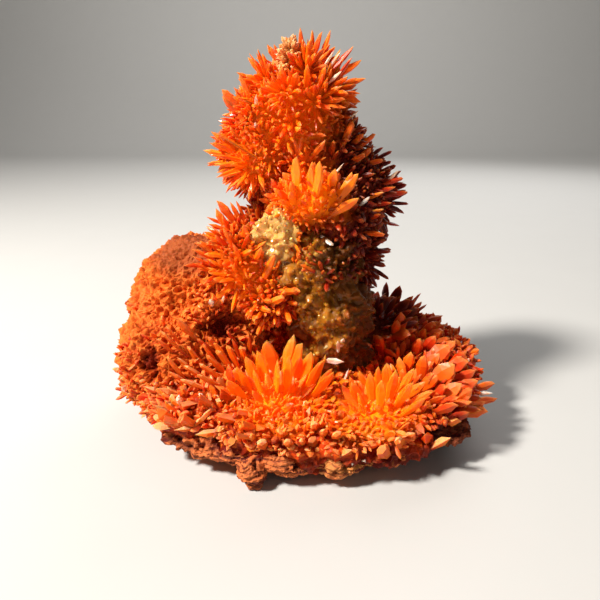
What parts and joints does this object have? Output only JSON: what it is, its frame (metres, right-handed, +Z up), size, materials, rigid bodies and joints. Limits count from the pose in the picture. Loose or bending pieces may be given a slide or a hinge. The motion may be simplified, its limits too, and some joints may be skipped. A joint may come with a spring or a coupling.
{
  "type": "calcite crystal cluster",
  "caption": "Leaning column of orange dogtooth calcite on an oval crystal-coated rock plate, free-standing on a small flat spot underneath.",
  "frame": {"origin": "centre of the flat spot that the rock plate rests on", "axes": "+Z up along the column, +Y from the front with the rosettes towards the back, +X to the viewer's right, away from the hump"},
  "size_m": [0.102, 0.0833, 0.1002],
  "materials": {
    "matrix_rock": "dull layered brown-red rock, rough",
    "cream_calcite": "sugary cream to amber calcite, sparkling grains",
    "orange_calcite": "translucent orange-red calcite crystals, glassy faces"
  },
  "bodies": {
    "root": {"matrix_plate": "matrix_rock", "calcite_core": "cream_calcite", "crystal_growth": "orange_calcite"}
  },
  "joints": []
}
